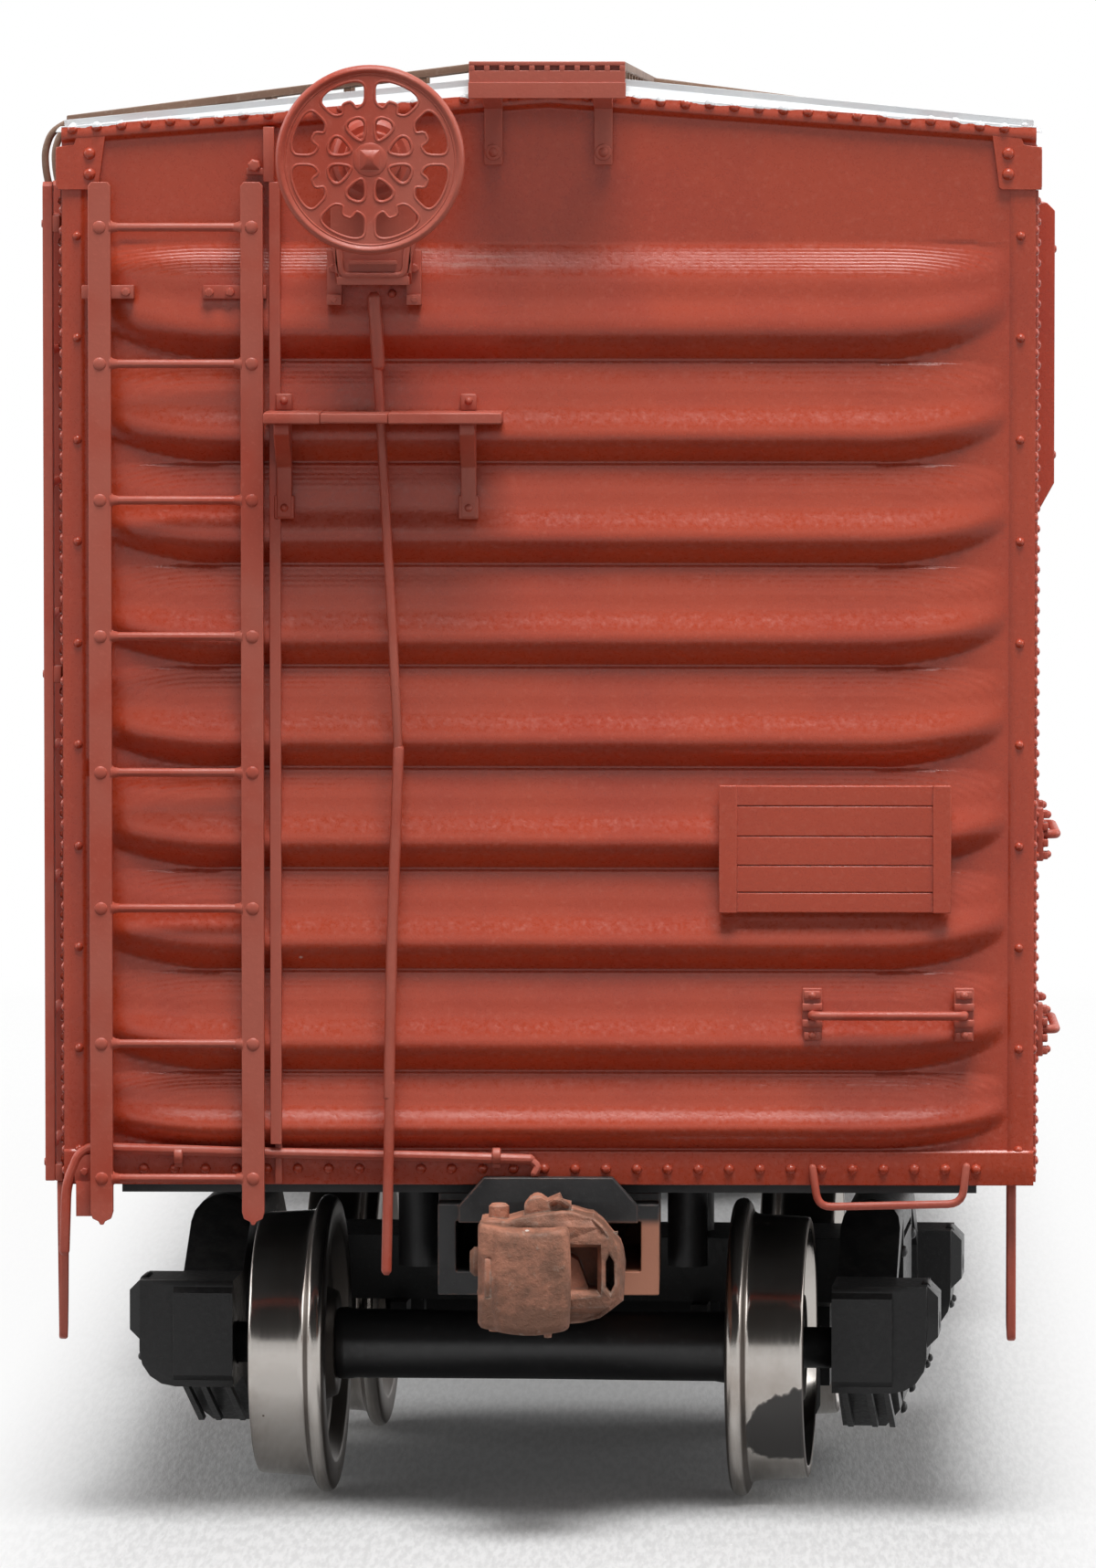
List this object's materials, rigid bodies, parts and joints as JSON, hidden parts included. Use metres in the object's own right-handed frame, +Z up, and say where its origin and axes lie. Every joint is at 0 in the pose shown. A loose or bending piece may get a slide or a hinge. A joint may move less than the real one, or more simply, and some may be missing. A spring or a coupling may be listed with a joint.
{
  "type": "scale model railroad boxcar",
  "caption": "Scale model of a steel railroad boxcar with corrugated ends, sliding doors, swivelling trucks, turning wheelsets and knuckle couplers.",
  "frame": {"origin": "on the ground below the middle of the car, at the bottom of the wheel flanges", "axes": "+Y along the car away from the brake end, +X to the right seen from the brake end, +Z up"},
  "size_m": [0.0378, 0.1564, 0.0523],
  "materials": {
    "red_paint": "eggshell oxide red paint over moulded plastic",
    "red_fittings": "eggshell oxide red paint over fine moulded plastic",
    "walk_brown": "dull brown-red paint on thin grating",
    "roof_white": "pale grey-white sprayed paint",
    "black_plastic": "dull black moulded plastic",
    "box_black": "black plastic with brown dust",
    "rust_brown": "rust brown wash over cast metal",
    "bright_wheel": "nickel plated, turned",
    "axle_black": "smooth black plastic",
    "steel_plate": "plain steel",
    "floor_grey": "dark moulded plastic"
  },
  "bodies": {
    "car": {"end_brake": "red_paint", "end_plain": "red_paint", "side_right": "red_paint", "side_left": "red_paint", "roof": "roof_white", "running_board": "walk_brown", "roof_side_boards": "walk_brown", "roof_grabs": "walk_brown", "end_ladders": "red_fittings", "side_ladders": "red_fittings", "brake_wheel": "red_fittings", "brake_housing": "red_fittings", "brake_rod": "red_fittings", "brake_step": "red_fittings", "tack_boards": "red_fittings", "side_boards": "red_fittings", "door_tracks": "red_fittings", "side_grabs": "red_fittings", "end_grabs": "red_fittings", "sill_steps": "red_fittings", "cut_levers": "red_fittings", "underframe": "black_plastic", "floor_plate": "floor_grey", "ballast_plate": "steel_plate", "coupler_boxes": "box_black", "brake_cylinder": "black_plastic", "air_reservoir": "black_plastic", "control_valve": "black_plastic", "kingpins": "steel_plate"},
    "door_right_body": {"door_right": "red_fittings"},
    "door_left_body": {"door_left": "red_fittings"},
    "truck_front": {"truck_front_sides": "black_plastic", "truck_front_bolster": "black_plastic", "truck_front_brakes": "black_plastic"},
    "truck_rear": {"truck_rear_sides": "black_plastic", "truck_rear_bolster": "black_plastic", "truck_rear_brakes": "black_plastic"},
    "wheelset_1": {"wheels_1": "bright_wheel", "axle_1": "axle_black"},
    "wheelset_2": {"wheels_2": "bright_wheel", "axle_2": "axle_black"},
    "wheelset_3": {"wheels_3": "bright_wheel", "axle_3": "axle_black"},
    "wheelset_4": {"wheels_4": "bright_wheel", "axle_4": "axle_black"},
    "coupler_front_body": {"coupler_front": "rust_brown"},
    "coupler_rear_body": {"coupler_rear": "rust_brown"},
    "knuckle_front_body": {"knuckle_front": "rust_brown"},
    "knuckle_rear_body": {"knuckle_rear": "rust_brown"}
  },
  "joints": [
    {"name": "truck_front_swivel", "type": "hinge", "parent": "car", "child": "truck_front", "pos_m": [0, -0.05365, 0.0095], "axis": [0, 0, 1], "range_deg": [-6.2, 13.8]},
    {"name": "truck_rear_swivel", "type": "hinge", "parent": "car", "child": "truck_rear", "pos_m": [0, 0.05365, 0.0095], "axis": [0, 0, 1], "range_deg": [-10, 10]},
    {"name": "wheelset_1_spin", "type": "hinge", "parent": "truck_front", "child": "wheelset_1", "pos_m": [-0.00064, -0.06325, 0.00545], "axis": [0.9978, -0.0663, 0], "continuous": true},
    {"name": "wheelset_2_spin", "type": "hinge", "parent": "truck_front", "child": "wheelset_2", "pos_m": [0.00064, -0.04405, 0.00545], "axis": [0.9978, -0.0663, 0], "continuous": true},
    {"name": "wheelset_3_spin", "type": "hinge", "parent": "truck_rear", "child": "wheelset_3", "pos_m": [0, 0.04403, 0.00545], "axis": [1, 0, 0], "continuous": true},
    {"name": "wheelset_4_spin", "type": "hinge", "parent": "truck_rear", "child": "wheelset_4", "pos_m": [0, 0.06327, 0.00545], "axis": [1, 0, 0], "continuous": true},
    {"name": "door_right_slide", "type": "slide", "parent": "car", "child": "door_right_body", "axis": [0, 1, 0], "range_m": [0, 0.0205]},
    {"name": "door_left_slide", "type": "slide", "parent": "car", "child": "door_left_body", "axis": [0, -1, 0], "range_m": [0, 0.0205]},
    {"name": "coupler_front_swing", "type": "hinge", "parent": "car", "child": "coupler_front_body", "pos_m": [0, -0.066, 0.01], "axis": [0, 0, 1], "range_deg": [-8, 8], "stiffness_Nm_per_rad": 0.0003},
    {"name": "knuckle_front_swing", "type": "hinge", "parent": "coupler_front_body", "child": "knuckle_front_body", "pos_m": [-0.0017, -0.07515, 0.00965], "axis": [0, 0, -1], "range_deg": [0, 18], "stiffness_Nm_per_rad": 0.0001},
    {"name": "coupler_rear_swing", "type": "hinge", "parent": "car", "child": "coupler_rear_body", "pos_m": [0, 0.066, 0.01], "axis": [0, 0, 1], "range_deg": [-8, 8], "stiffness_Nm_per_rad": 0.0003},
    {"name": "knuckle_rear_swing", "type": "hinge", "parent": "coupler_rear_body", "child": "knuckle_rear_body", "pos_m": [0.0017, 0.07515, 0.00965], "axis": [0, 0, -1], "range_deg": [0, 18], "stiffness_Nm_per_rad": 0.0001}
  ]
}
